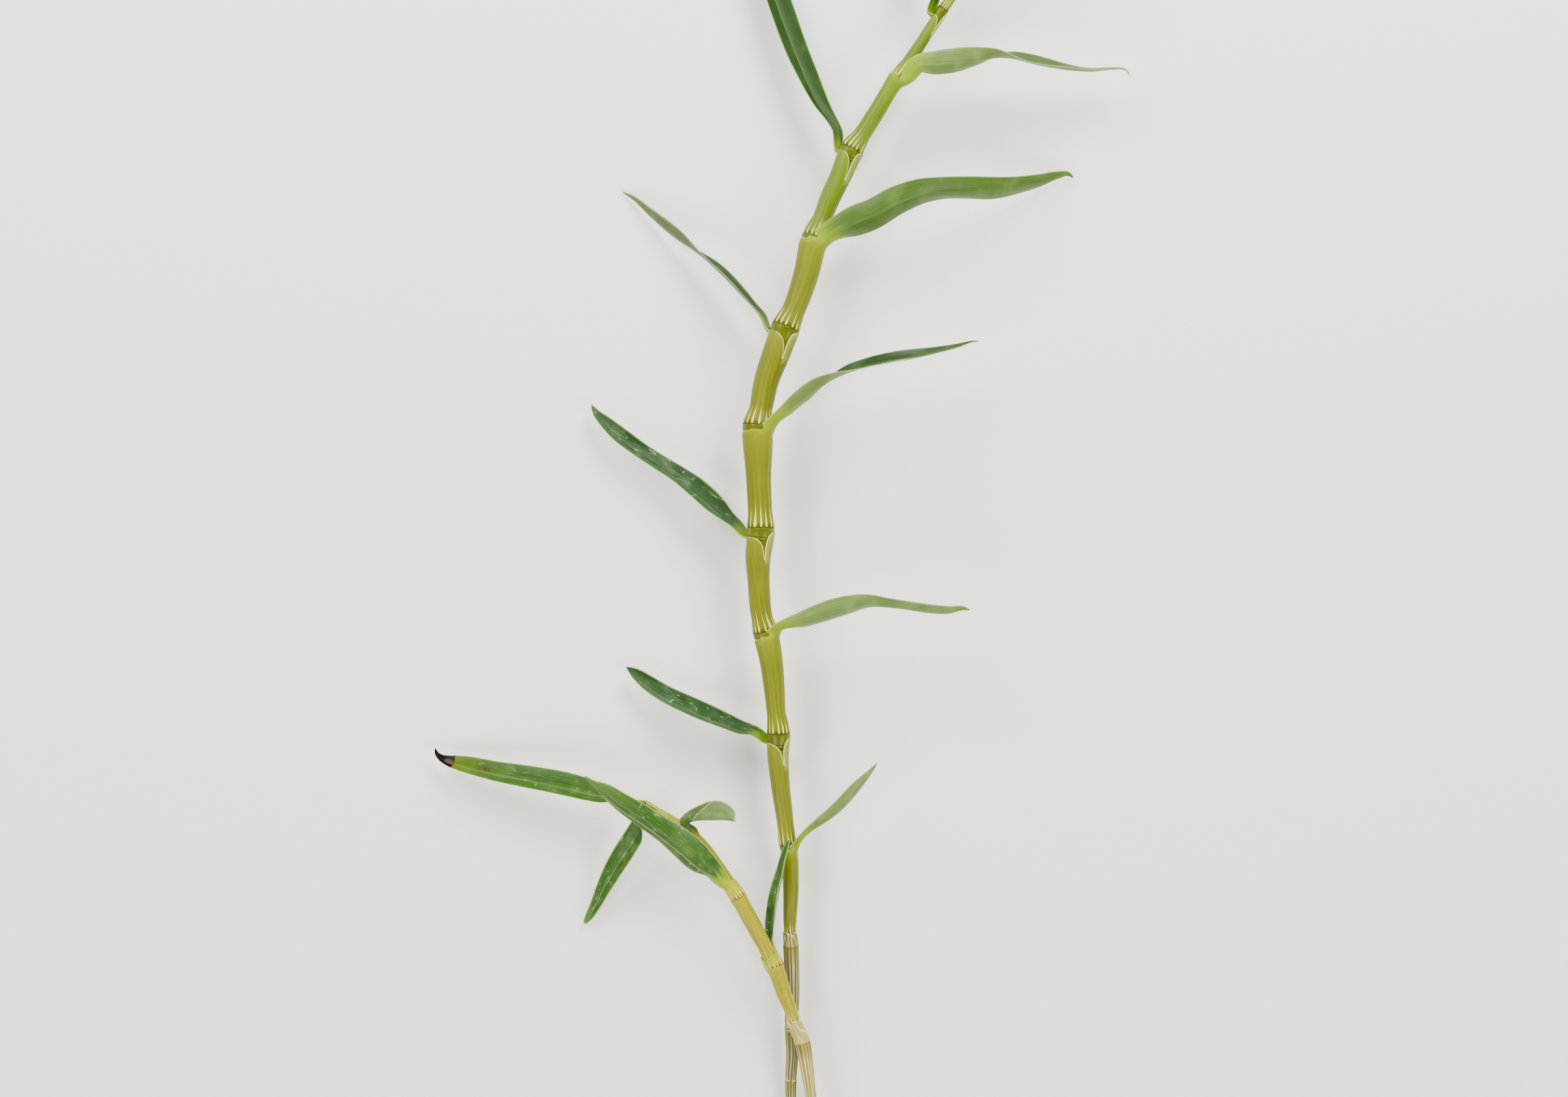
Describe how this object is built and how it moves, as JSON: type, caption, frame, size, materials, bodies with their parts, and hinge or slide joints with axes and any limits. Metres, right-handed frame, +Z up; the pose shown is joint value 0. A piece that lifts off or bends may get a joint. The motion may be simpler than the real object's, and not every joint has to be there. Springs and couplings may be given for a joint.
{
  "type": "dendrobium orchid stem",
  "caption": "Leafy dendrobium orchid stem: a long jointed cane and a shorter side cane on one short rootstock, with sheathing strap leaves in two ranks.",
  "frame": {"origin": "centre of the flat spot under the rootstock, where the cut stem rests on the table", "axes": "+Y along the tall cane, from its foot to its top; +X towards the side the right-hand leaves take, seen from above; +Z up from the table, towards the side that the picture shows"},
  "size_m": [0.3234, 0.5973, 0.0477],
  "materials": {
    "rootstock": "matte",
    "cane": "satin",
    "papery_sheath": "matte",
    "leaf_upper": "satin",
    "leaf_under": "satin"
  },
  "bodies": {
    "root": {"rootstock": "rootstock", "short_cane": "cane", "short_leaf_1": "leaf_under", "short_leaf_2": "leaf_upper", "short_leaf_3": "leaf_under", "short_leaf_4": "leaf_upper", "short_leaf_5": "leaf_upper", "short_papery_sheath": "papery_sheath", "tall_cane": "cane", "tall_leaf_01": "leaf_under", "tall_leaf_02": "leaf_upper", "tall_leaf_03": "leaf_under", "tall_leaf_04": "leaf_upper", "tall_leaf_05": "leaf_under", "tall_leaf_06": "leaf_upper", "tall_leaf_07": "leaf_under", "tall_leaf_08": "leaf_upper", "tall_leaf_09": "leaf_under", "tall_leaf_10": "leaf_upper", "tall_leaf_11": "leaf_under", "tall_papery_sheath_1": "papery_sheath", "tall_papery_sheath_2": "papery_sheath", "tall_papery_sheath_3": "papery_sheath"}
  },
  "joints": []
}
